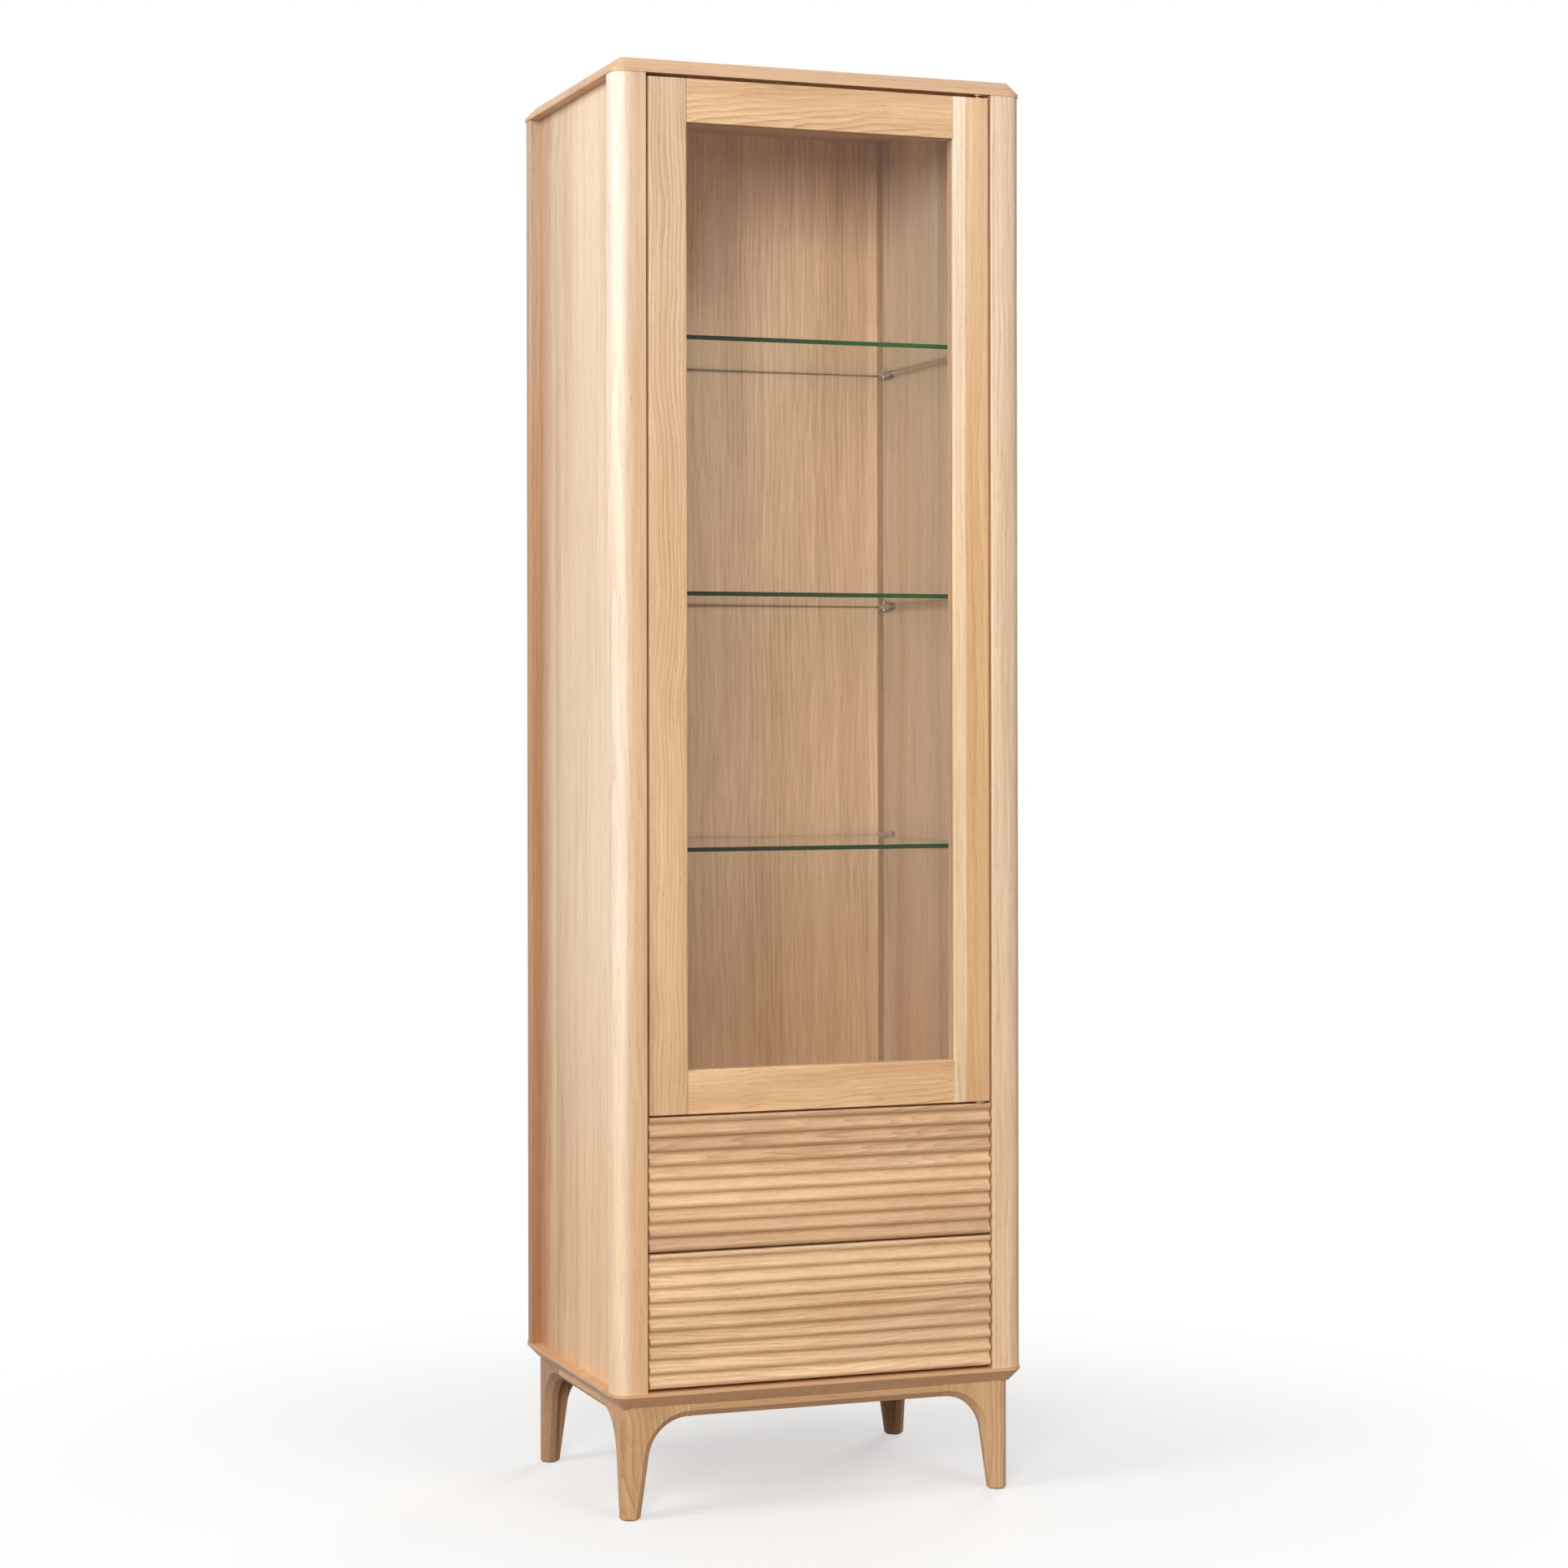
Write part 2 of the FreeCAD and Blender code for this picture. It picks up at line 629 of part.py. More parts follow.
def door():
    seats = []
    bushes = []
    for end, level, inward in (("low", DOOR_LOW, "+z"), ("high", DOOR_TOP, "-z")):
        seats.append(rod(f"bush_seat_{end}", (PIVOT_X, PIVOT_Y, level), inward, "bush_length",
                         "pin_radius + running_fit + bush_wall"))
        bushes.append(pivot_bush(f"bush_{end}", level, inward))
    keep(cut("hinge_stile", stile("right", 1), *seats), "door_stile_right")
    strike = ((f"-{LATCH_X}", DOOR_BACK, LATCH_Z), "-y", "strike_thick", "strike_radius")
    keep(cut("latch_stile", stile("left", -1), rod("strike_seat", *strike)), "door_stile_left")
    keep(rod("strike", *strike), "door_strike")
    door_rail("door_rail_top", f"{DOOR_TOP} - rail_height", False)
    door_rail("door_rail_bottom", DOOR_LOW, True)
    glazing()
    keep(group("bushes", bushes), "pivot_bushes")
    pivot_plate("pivot_plate_upper", CASE_TOP, "-z", "door_top_gap + pin_depth")
    pivot_plate("pivot_plate_lower", FLOOR_TOP, "+z", "door_bottom_gap - plate_lift + pin_depth")


# Push latches

LATCH_X = f"({DOOR_EDGE} - stile_width / 2)"
LATCH_Z = f"({CASE_TOP} - latch_height / 2)"


def push_latch(name, x, z, target, away, rear):
    """Housing and spring plunger; the plunger's head waits just short of its target face."""
    sign = "+" if away == "+y" else "-"
    tip = f"({target} {sign} latch_rest)"
    mouth = f"({tip} {sign} latch_reach)"
    ends = (mouth, rear) if away == "+y" else (rear, mouth)
    case = block(f"{name}_case", (f"{x} - latch_width / 2", f"{x} + latch_width / 2"), ends,
                 (f"{z} - latch_height / 2", f"{z} + latch_height / 2"))
    bore = rod(f"{name}_bore", (x, mouth, z), away, "plunger_stem + plunger_room",
               "plunger_radius + plunger_fit")
    head = rod(f"{name}_head", (x, tip, z), away, "plunger_head", "plunger_radius + plunger_brim", FITTING_SIDES)
    stem = rod(f"{name}_stem", (x, tip, z), away, "latch_reach + plunger_stem", "plunger_radius")
    return cut(f"{name}_housing", case, bore), fuse(f"{name}_plunger", head, stem)


def latches():
    mouth = f"({DOOR_BACK} + latch_rest + latch_reach)"
    housing, plunger = push_latch("door_latch", f"-{LATCH_X}", LATCH_Z, DOOR_BACK, "+y",
                                  f"{mouth} + latch_length")
    keep(housing, "door_latch_housing")
    keep(plunger, "door_latch_plunger")
    housings = []
    for place, low in (("upper", UPPER_LOW), ("lower", LOWER_LOW)):
        middle = f"({low} + drawer_height / 2)"
        housing, plunger = push_latch(f"{place}_latch", "0", middle, BOX_BACK, "+y", BACK_FACE)
        housings.append(housing)
        keep(plunger, f"drawer_latch_plunger_{place}")
    keep(group("drawer_latches", housings), "drawer_latch_housings")


# Drawers


def drawer_front(label, low):
    """Front board milled with level flutes: tangent arcs, round and hollow in turn, from a crest near the top."""
    body = new_body(label, ("0", FACADE, low))
    pitch = size("flute_pitch")
    depth = size("flute_depth")
    height = size("drawer_height")
    thick = size("front_thick")
    first_crest = height - size("flute_start")
    radius = ((pitch / 4) ** 2 + (depth / 2) ** 2) / depth

    def face_point(z, middle, hollow):
        """Point of the arc about a middle level, as its depth behind the crests and its height."""
        sag = radius - math.sqrt(radius ** 2 - (z - middle) ** 2)
        return Vector(depth - sag if hollow else sag, z, 0)

    sketch = sketch_on(body, "YZ_Plane")
    top = face_point(height, first_crest, False)
    start = top
    count = 0
    while start.y > 0:
        middle = first_crest - count * pitch / 2
        low_end = max(middle - pitch / 4, 0)
        hollow = count % 2 == 1
        end = face_point(low_end, middle, hollow)
        sketch.addGeometry(Part.Arc(start, face_point((start.y + low_end) / 2, middle, hollow), end), False)
        start = end
        count += 1
    back = [start, Vector(thick, 0, 0), Vector(thick, height, 0), top]
    for corner, after in zip(back, back[1:]):
        sketch.addGeometry(Part.LineSegment(corner, after), False)
    pad(body, sketch, f"2 * {DOOR_EDGE}", midplane=True)
    keep(body, label)


def drawer_box(place, low):
    """Box behind a front: grooved sides and inner front, a back that stands on the bottom board."""
    z_low = f"({low} + box_lift)"
    z_high = f"({low} + drawer_height - box_drop)"
    groove_low = f"({z_low} + bottom_lift)"
    groove_high = f"({groove_low} + bottom_thick)"
    inside = f"({BOX_SIDE} - box_wall)"
    tongue = f"({inside} + bottom_tongue)"
    inner_front = f"({BOX_FRONT} + box_wall)"
    bottom_front = f"({inner_front} - bottom_tongue)"
    groove = (groove_low, groove_high)
    for side, sx in (("left", -1), ("right", 1)):
        wall = block(f"{place}_{side}_wall", sorted_pair(sx, inside, BOX_SIDE), (BOX_FRONT, BOX_BACK),
                     (z_low, z_high))
        slot = block(f"{place}_{side}_slot", sorted_pair(sx, inside, tongue), (bottom_front, BOX_BACK), groove)
        keep(cut(f"{place}_{side}", wall, slot), f"drawer_side_{side}_{place}")
    across = (f"-{inside}", inside)
    wall = block(f"{place}_front_wall", across, (BOX_FRONT, inner_front), (z_low, z_high))
    slot = block(f"{place}_front_slot", across, (bottom_front, inner_front), groove)
    keep(cut(f"{place}_inner_front", wall, slot), f"drawer_inner_front_{place}")
    keep(block(f"{place}_back", across, (f"{BOX_BACK} - box_wall", BOX_BACK), (groove_high, z_high)),
         f"drawer_back_{place}")
    keep(block(f"{place}_bottom", (f"-{tongue}", tongue), (bottom_front, BOX_BACK), groove),
         f"drawer_bottom_{place}")


def race_offset(inside_height, member_height):
    """How far a member's ball races stand above its flanges to run inside the next member."""
    return f"({inside_height} / 2 - slide_wall - slide_fit - {member_height} / 2)"


def slide_section(member):
    """Section of a slide member: distance from the case wall, and height above the slide's axis."""
    lip = "(slide_space - slide_wall - slide_reveal)"
    if member == "rail":
        half = "slide_height / 2"
        upper = [("0", half), (lip, half), (lip, f"{half} - slide_wall"),
                 ("slide_wall", f"{half} - slide_wall")]
    elif member == "middle":
        half = "middle_height / 2"
        race = f"{half} + {race_offset('slide_height', 'middle_height')}"
        web = "(2 * slide_wall)"
        upper = [(web, half), (f"{lip} - race_width", half), (f"{lip} - race_width", race), (lip, race),
                 (lip, f"{half} - slide_wall"), (f"{web} + slide_wall", f"{half} - slide_wall")]
    else:
        half = "inner_height / 2"
        race = f"{half} + {race_offset('middle_height', 'inner_height')}"
        start = "(slide_space - inner_lip)"
        upper = [("slide_space", half), (f"{start} + race_width", half), (f"{start} + race_width", race),
                 (start, race), (start, f"{half} - slide_wall"),
                 ("slide_space - slide_wall", f"{half} - slide_wall")]
    lower = [(p, f"-({q})") for p, q in reversed(upper)]
    return upper + lower


def slides(place, low):
    """Three nested members of the pair of slides that carries one drawer."""
    axis = f"({low} + (drawer_height + box_lift - box_drop) / 2)"
    start = f"({BOX_FRONT} + slide_setback)"
    length = f"{BOX_BACK} - slide_tail - {start}"
    for member, label in (("rail", "slide_rails"), ("middle", "slide_middles"), ("inner", "slide_inners")):
        pair = []
        for side, sx in (("left", -1), ("right", 1)):
            body = new_body(f"{label}_{place}_{side}", ("0", start, axis))
            corners = [(f"{sx} * ({POST_IN} - ({p}))", q) for p, q in slide_section(member)]
            pad(body, outline(body, "XZ_Plane", corners), length, reverse=True)
            pair.append(body)
        keep(group(f"{label}_{place}_pair", pair), f"{label}_{place}")


def drawers():
    cleats = []
    for place, low in (("upper", UPPER_LOW), ("lower", LOWER_LOW)):
        drawer_front(f"drawer_front_{place}", low)
        drawer_box(place, low)
        slides(place, low)
        axis = f"({low} + (drawer_height + box_lift - box_drop) / 2)"
        for side, sx in (("left", -1), ("right", 1)):
            cleats.append(block(f"cleat_{place}_{side}", sorted_pair(sx, POST_IN, SIDE_IN),
                                (f"-{POST_BACK}", POST_BACK),
                                (f"{axis} - cleat_height / 2", f"{axis} + cleat_height / 2")))
    keep(group("cleats", cleats), "runner_cleats")


def check_and_write():
    doc.recompute()
    for thing in doc.Objects:
        if "Invalid" in thing.State or "Error" in thing.State:
            raise RuntimeError(f"{thing.Name} failed: {thing.State}")
    for thing in nodes:
        if thing.Shape.isNull() or not thing.Shape.isValid():
            raise RuntimeError(f"{thing.Label} has no valid shape")
    os.makedirs("parts", exist_ok=True)
    for thing in nodes:
        thing.Shape.exportStep(f"parts/{thing.Label}.step")
    print(f"{len(nodes)} sub-parts written")


fill_sheet()
carcass()
shelves()
door()
latches()
drawers()
check_and_write()
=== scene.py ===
import math

import bpy
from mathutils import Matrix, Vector


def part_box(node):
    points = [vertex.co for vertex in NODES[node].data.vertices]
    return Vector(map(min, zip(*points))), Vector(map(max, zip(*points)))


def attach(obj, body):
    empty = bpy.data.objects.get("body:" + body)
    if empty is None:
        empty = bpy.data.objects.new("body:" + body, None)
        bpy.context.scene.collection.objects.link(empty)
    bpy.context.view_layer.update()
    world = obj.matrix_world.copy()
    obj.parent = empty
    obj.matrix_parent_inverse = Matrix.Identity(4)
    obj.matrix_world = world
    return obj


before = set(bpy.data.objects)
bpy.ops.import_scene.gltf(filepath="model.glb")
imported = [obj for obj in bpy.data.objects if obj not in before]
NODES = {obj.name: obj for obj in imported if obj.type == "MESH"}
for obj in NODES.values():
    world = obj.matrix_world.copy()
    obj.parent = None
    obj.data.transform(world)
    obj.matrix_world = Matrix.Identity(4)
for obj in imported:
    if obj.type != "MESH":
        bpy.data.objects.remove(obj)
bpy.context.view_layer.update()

SCENE = bpy.context.scene
SHELVES = ("upper", "middle", "lower")
DRAWERS = ("upper", "lower")
MM = 0.001


def tint(red, green, blue):
    """Light values that shaders take, from a colour as it looks on a screen."""
    def linear(level):
        share = level / 255
        return share / 12.92 if share <= 0.04045 else ((share + 0.055) / 1.055) ** 2.4
    return (linear(red), linear(green), linear(blue), 1.0)


# The mean colour of a wood lies this far from its pale tone towards its deep one.
BASE_SHARE = 0.35
# What the deep tone loses of the mean's red, green and blue, at a contrast of 1.
DEEP_DROP = (0.24, 0.31, 0.37)


def wood_tones(mean, contrast):
    """Pale and deep tones of a wood, from its mean colour."""
    middle = tint(*mean)[:3]
    deep = tuple(level * (1 - contrast * drop) for level, drop in zip(middle, DEEP_DROP))
    lift = BASE_SHARE / (1 - BASE_SHARE)
    pale = tuple(level + lift * (level - low) for level, low in zip(middle, deep))
    return pale + (1.0,), deep + (1.0,)


# Node building

# Sockets of a Mix node that mixes colours
MIX_SHARE, MIX_FIRST, MIX_SECOND, MIX_RESULT = 0, 6, 7, 2


def add_node(tree, kind, **settings):
    node = tree.nodes.new(kind)
    for name, value in settings.items():
        setattr(node, name, value)
    return node


def plug(tree, source, target):
    """Link a socket, or set a plain value on it."""
    if isinstance(source, bpy.types.NodeSocket):
        tree.links.new(source, target)
    else:
        target.default_value = source


def math_node(tree, operation, *values):
    node = add_node(tree, "ShaderNodeMath", operation=operation)
    for value, socket in zip(values, node.inputs):
        plug(tree, value, socket)
    return node.outputs[0]


def vector_node(tree, operation, *values):
    node = add_node(tree, "ShaderNodeVectorMath", operation=operation)
    for value, socket in zip(values, node.inputs):
        plug(tree, value, socket)
    return node.outputs["Value" if operation == "LENGTH" else "Vector"]


def blend(tree, share, first, second, kind="MIX", held=True):
    """Second colour laid on the first, by a share that is held between 0 and 1 or may go past them."""
    node = add_node(tree, "ShaderNodeMix", data_type="RGBA", blend_type=kind, clamp_factor=held)
    plug(tree, share, node.inputs[MIX_SHARE])
    plug(tree, first, node.inputs[MIX_FIRST])
    plug(tree, second, node.inputs[MIX_SECOND])
    return node.outputs[MIX_RESULT]


def mix_shaders(tree, share, first, second, output):
    """Second shader laid on the first by a share, and led to the output."""
    node = add_node(tree, "ShaderNodeMixShader")
    plug(tree, share, node.inputs[0])
    plug(tree, first.outputs[0], node.inputs[1])
    plug(tree, second.outputs[0], node.inputs[2])
    plug(tree, node.outputs[0], tree.nodes[output].inputs["Surface"])


def ramp(tree, value, low, high):
    """Smooth share that rises from 0 to 1 between two values."""
    node = add_node(tree, "ShaderNodeMapRange", interpolation_type="SMOOTHSTEP")
    plug(tree, value, node.inputs["Value"])
    plug(tree, low, node.inputs["From Min"])
    plug(tree, high, node.inputs["From Max"])
    return node.outputs[0]


def noise(tree, vector, stretch, detail=2.0, roughness=0.5):
    """Noise on a vector that is stretched by its own factor in each direction."""
    node = add_node(tree, "ShaderNodeTexNoise")
    plug(tree, vector_node(tree, "MULTIPLY", vector, stretch), node.inputs["Vector"])
    node.inputs["Scale"].default_value = 1.0
    node.inputs["Detail"].default_value = detail
    node.inputs["Roughness"].default_value = roughness
    return node


def object_place(tree):
    return add_node(tree, "ShaderNodeTexCoord").outputs["Object"]


def apart(tree, vector):
    """The X, Y and Z of a vector."""
    node = add_node(tree, "ShaderNodeSeparateXYZ")
    plug(tree, vector, node.inputs[0])
    return node.outputs


def relief(tree, shader, height, strength, depth):
    """Fine bump on a shader's surface."""
    bump = add_node(tree, "ShaderNodeBump")
    bump.inputs["Strength"].default_value = strength
    bump.inputs["Distance"].default_value = depth
    plug(tree, height, bump.inputs["Height"])
    plug(tree, bump.outputs["Normal"], shader.inputs["Normal"])


def new_group(name, inputs, outputs):
    tree = bpy.data.node_groups.new(name, "ShaderNodeTree")
    for label, kind, value in inputs:
        socket = tree.interface.new_socket(label, in_out="INPUT", socket_type=kind)
        socket.default_value = value
    for label, kind in outputs:
        tree.interface.new_socket(label, in_out="OUTPUT", socket_type=kind)
    return tree, tree.nodes.new("NodeGroupInput").outputs, tree.nodes.new("NodeGroupOutput").inputs


# Waves per metre of each part of the figure, across, through and along the grain.
WAVES = {"bend": (6.0, 6.0, 3.2), "ripple": (60.0, 60.0, 5.0), "spacing": (22.0, 22.0, 0.9),
         "streak": (48.0, 48.0, 1.5), "fibre": (330.0, 330.0, 8.0), "drift": (7.0, 7.0, 0.8),
         "patch": (11.0, 11.0, 1.3), "dash": (1500.0, 1500.0, 45.0)}
# How far one stave's figure lies from the next one's, in metres.
STAVE_SCATTER = (0.16, 0.05, 3.0)
# How many ring widths the rings shift by, close together and over a board.
RIPPLE_REACH, SPACING_REACH = 0.9, 3.5
# Late wood darkens slowly and ends at once: the power that does it, and the mean that it leaves.
RING_POWER, RING_MEAN = 2.2, 0.31
# Noise levels between which pores open, and between which the rings begin to show.
PORE_FROM, PORE_TO = 0.6, 0.72
PATCH_FROM, PATCH_TO = 0.36, 0.62
# Limits of the shade, where 0 is the pale tone and 1 the deep one.
SHADE_LOW, SHADE_HIGH = -0.3, 1.3
# Roughness of smooth oak, what fibres add to it, and how far they stand up beside a pore's depth of 1.
OAK_ROUGHNESS, FIBRE_ROUGHNESS, FIBRE_HEIGHT = 0.4, 0.2, 0.4


def oak_group():
    """Solid oak with the grain along Z: glued staves, growth rings, streaks, fibres and pores, with tints
    that can paint light and shade into it.
    """
    number, colour, vector = "NodeSocketFloat", "NodeSocketColor", "NodeSocketVector"
    white = (1, 1, 1, 1)
    tree, given, result = new_group(
        "oak_grain",
        [("Place", vector, (0, 0, 0)), ("Shift", vector, (0, 0, 0)),
         ("Pale", colour, white), ("Deep", colour, white),
         ("Pith", vector, (0.25, 0.2, 0)), ("Ring Width", number, 0.009), ("Ring", number, 0.25),
         ("Warp", number, 0.02), ("Tilt", number, 0.03),
         ("Streak", number, 0.9), ("Fibre", number, 0.9), ("Drift", number, 0.8),
         ("Stave Width", number, 0.09), ("Stave", number, 0.3),
         ("Band", number, 0.0), ("Band Width", number, 1.0), ("Band Middle", number, 0.0),
         ("Edge Tint", colour, white), ("Edge From", number, 0.0), ("Edge To", number, 1.0),
         ("Head Tint", colour, white), ("Head From", number, 1.3), ("Head To", number, 1.95),
         ("Foot Tint", colour, white), ("Foot From", number, 0.9), ("Foot To", number, 0.25),
         ("Hollow", number, 0.0), ("Hollow From", number, 0.0), ("Hollow To", number, 1.0),
         ("Pores", number, 0.45), ("Pore Colour", colour, tint(128, 88, 56))],
        [("Colour", colour), ("Roughness", number), ("Height", number)])
    across, through, along = apart(tree, given["Place"])
    seed = apart(tree, given["Shift"])["X"]
    stave = math_node(tree, "FLOOR", math_node(tree, "DIVIDE", across, given["Stave Width"]))
    chance = add_node(tree, "ShaderNodeTexWhiteNoise", noise_dimensions="1D")
    plug(tree, math_node(tree, "ADD", stave, seed), chance.inputs["W"])
    scatter = vector_node(tree, "MULTIPLY", chance.outputs["Color"], STAVE_SCATTER)
    board = vector_node(tree, "ADD", vector_node(tree, "ADD", given["Place"], given["Shift"]), scatter)

    bend = noise(tree, board, WAVES["bend"])
    bend = vector_node(tree, "SUBTRACT", bend.outputs["Color"], (0.5, 0.5, 0.5))
    sway = add_node(tree, "ShaderNodeVectorMath", operation="SCALE")
    plug(tree, bend, sway.inputs[0])
    plug(tree, given["Warp"], sway.inputs["Scale"])
    curved = vector_node(tree, "ADD", board, sway.outputs["Vector"])
    lean = add_node(tree, "ShaderNodeCombineXYZ")
    plug(tree, math_node(tree, "MULTIPLY", along, given["Tilt"]), lean.inputs["Y"])
    flat = vector_node(tree, "SUBTRACT", vector_node(tree, "ADD", curved, lean.outputs[0]), given["Pith"])
    flat = vector_node(tree, "MULTIPLY", flat, (1, 1, 0))
    rings = math_node(tree, "DIVIDE", vector_node(tree, "LENGTH", flat), given["Ring Width"])
    ripple = noise(tree, board, WAVES["ripple"], detail=1.0).outputs["Fac"]
    spacing = noise(tree, board, WAVES["spacing"], detail=1.0).outputs["Fac"]
    for uneven, reach in ((ripple, RIPPLE_REACH), (spacing, SPACING_REACH)):
        rings = math_node(tree, "MULTIPLY_ADD", uneven, reach, rings)
    ring = math_node(tree, "POWER", math_node(tree, "FRACT", rings), RING_POWER)

    streak = noise(tree, curved, WAVES["streak"], detail=3.0).outputs["Fac"]
    fibre = noise(tree, curved, WAVES["fibre"], detail=4.0, roughness=0.68).outputs["Fac"]
    drift = noise(tree, board, WAVES["drift"]).outputs["Fac"]
    patch = noise(tree, board, WAVES["patch"], detail=1.0).outputs["Fac"]
    dash = noise(tree, curved, WAVES["dash"], detail=1.0).outputs["Fac"]
    # Pores crowd towards the dark end of a ring, and the rings show in patches.
    crowd = math_node(tree, "MULTIPLY_ADD", ring, 0.7, 0.3)
    pore = math_node(tree, "MULTIPLY", ramp(tree, dash, PORE_FROM, PORE_TO), crowd)
    figure = math_node(tree, "SUBTRACT", ring, RING_MEAN)
    figure = math_node(tree, "MULTIPLY", figure, ramp(tree, patch, PATCH_FROM, PATCH_TO))
    band = math_node(tree, "SUBTRACT", across, given["Band Middle"])
    band = math_node(tree, "DIVIDE", band, given["Band Width"])
    band = math_node(tree, "COSINE", math_node(tree, "MULTIPLY", band, 2 * math.pi))
    # Tone by depth through the board; the drawer fronts use it to paint their flute valleys paler, as painted
    # light.
    hollow = ramp(tree, through, given["Hollow From"], given["Hollow To"])

    shade = BASE_SHARE
    for value, centre, strength in ((figure, 0.0, "Ring"), (streak, 0.5, "Streak"), (fibre, 0.5, "Fibre"),
                                    (drift, 0.5, "Drift"), (chance.outputs["Value"], 0.5, "Stave"),
                                    (band, 0.0, "Band"), (hollow, 0.3, "Hollow")):
        swing = math_node(tree, "SUBTRACT", value, centre)
        shade = math_node(tree, "MULTIPLY_ADD", swing, given[strength], shade)
    shade = math_node(tree, "MAXIMUM", math_node(tree, "MINIMUM", shade, SHADE_HIGH), SHADE_LOW)
    wood = blend(tree, shade, given["Pale"], given["Deep"], held=False)
    # Edge, head and foot tints multiply the colour across and along the board: painted light and shade, and
    # on the right stile its two strips of wood.
    for end, course in (("Edge", across), ("Head", along), ("Foot", along)):
        reach = ramp(tree, course, given[f"{end} From"], given[f"{end} To"])
        wood = blend(tree, reach, wood, given[f"{end} Tint"], kind="MULTIPLY")
    wood = blend(tree, math_node(tree, "MULTIPLY", pore, given["Pores"]), wood, given["Pore Colour"])
    plug(tree, wood, result["Colour"])
    rough = math_node(tree, "MULTIPLY_ADD", fibre, FIBRE_ROUGHNESS, OAK_ROUGHNESS)
    raised = math_node(tree, "MULTIPLY", fibre, FIBRE_HEIGHT)
    plug(tree, rough, result["Roughness"])
    plug(tree, math_node(tree, "SUBTRACT", raised, pore), result["Height"])
    return tree


OAK_GRAIN = oak_group()


def new_material(name):
    material = bpy.data.materials.new(name)
    material.use_nodes = True
    tree = material.node_tree
    return material, tree, tree.nodes["Principled BSDF"]


def grain_place(tree, along, across):
    """Object coordinates turned so that the grain runs along Z and the boards lie side by side along X."""
    parts = apart(tree, object_place(tree))
    through = next(axis for axis in "XYZ" if axis not in (along, across))
    turned = add_node(tree, "ShaderNodeCombineXYZ")
    for axis, socket in zip((across, through, along), "XYZ"):
        plug(tree, parts[axis], turned.inputs[socket])
    return turned.outputs[0]


def oak(name, along, across, mean, contrast=1.0, **values):
    """Oiled oak with its grain along one axis and its staves side by side along another."""
    material, tree, shader = new_material(name)
    grain = add_node(tree, "ShaderNodeGroup", node_tree=OAK_GRAIN)
    plug(tree, grain_place(tree, along, across), grain.inputs["Place"])
    pale, deep = wood_tones(mean, contrast)
    grain.inputs["Pale"].default_value = pale
    grain.inputs["Deep"].default_value = deep
    for label, value in values.items():
        grain.inputs[label.replace("_", " ").title()].default_value = value
    plug(tree, grain.outputs["Colour"], shader.inputs["Base Color"])
    plug(tree, grain.outputs["Roughness"], shader.inputs["Roughness"])
    relief(tree, shader, grain.outputs["Height"], strength=0.25, depth=0.4 * MM)
    shader.inputs["Specular IOR Level"].default_value = 0.3
    return material


def clear_glass(name, colour):
    """Glass that lets the lamps through to what stands behind it."""
    material, tree, shader = new_material(name)
    shader.inputs["Base Color"].default_value = colour
    shader.inputs["Roughness"].default_value = 0.0
    shader.inputs["IOR"].default_value = 1.3
    shader.inputs["Transmission Weight"].default_value = 1.0
    light = add_node(tree, "ShaderNodeLightPath")
    lamp_ray = math_node(tree, "MAXIMUM", light.outputs["Is Shadow Ray"], light.outputs["Is Diffuse Ray"])
    open_way = add_node(tree, "ShaderNodeBsdfTransparent")
    open_way.inputs["Color"].default_value = colour
    mix_shaders(tree, lamp_ray, shader, open_way, "Material Output")
    return material


def glass_edge(name, near, far):
    """Ground edge of float glass: a clouded green that clears from the left end to the right."""
    material, tree, shader = new_material(name)
    place = object_place(tree)
    clearing, clouding, all_near, all_far = 2.2, 0.25, -0.35, 0.6
    cloud = noise(tree, place, (26.0, 26.0, 300.0)).outputs["Fac"]
    rise = math_node(tree, "MULTIPLY", apart(tree, place)["X"], clearing)
    share = ramp(tree, math_node(tree, "MULTIPLY_ADD", cloud, clouding, rise), all_near, all_far)
    plug(tree, blend(tree, share, near, far), shader.inputs["Base Color"])
    shader.inputs["Roughness"].default_value = 0.5
    shader.inputs["Specular IOR Level"].default_value = 0.0
    return material


def metal(name, colour, roughness):
    """Metal with a faint haze on its polish."""
    material, tree, shader = new_material(name)
    haziness = 0.16
    haze = noise(tree, object_place(tree), (180.0, 180.0, 180.0), detail=3.0).outputs["Fac"]
    shader.inputs["Base Color"].default_value = colour
    shader.inputs["Metallic"].default_value = 1.0
    plug(tree, math_node(tree, "MULTIPLY_ADD", haze, haziness, roughness), shader.inputs["Roughness"])
    return material


def plastic(name, colour):
    """Moulded plastic with a fine grit."""
    material, tree, shader = new_material(name)
    grit = noise(tree, object_place(tree), (1400.0, 1400.0, 1400.0)).outputs["Fac"]
    shaded = tuple(0.8 * level for level in colour[:3]) + (1,)
    plug(tree, blend(tree, grit, colour, shaded), shader.inputs["Base Color"])
    shader.inputs["Roughness"].default_value = 0.55
    relief(tree, shader, grit, strength=0.15, depth=0.3 * MM)
    return material


STEEL = metal("zinc_steel", (0.62, 0.63, 0.64, 1), 0.28)


# Finish of the construction's own pieces. A mean colour is that of the whole board. Head and foot tints paint
# light and shade along it, and edge tints paint shade or a highlight across it; on the right stile an edge
# tint gives its two strips of wood.


def dress(material, *names):
    for name in names:
        NODES[name].data.materials.clear()
        NODES[name].data.materials.append(material)


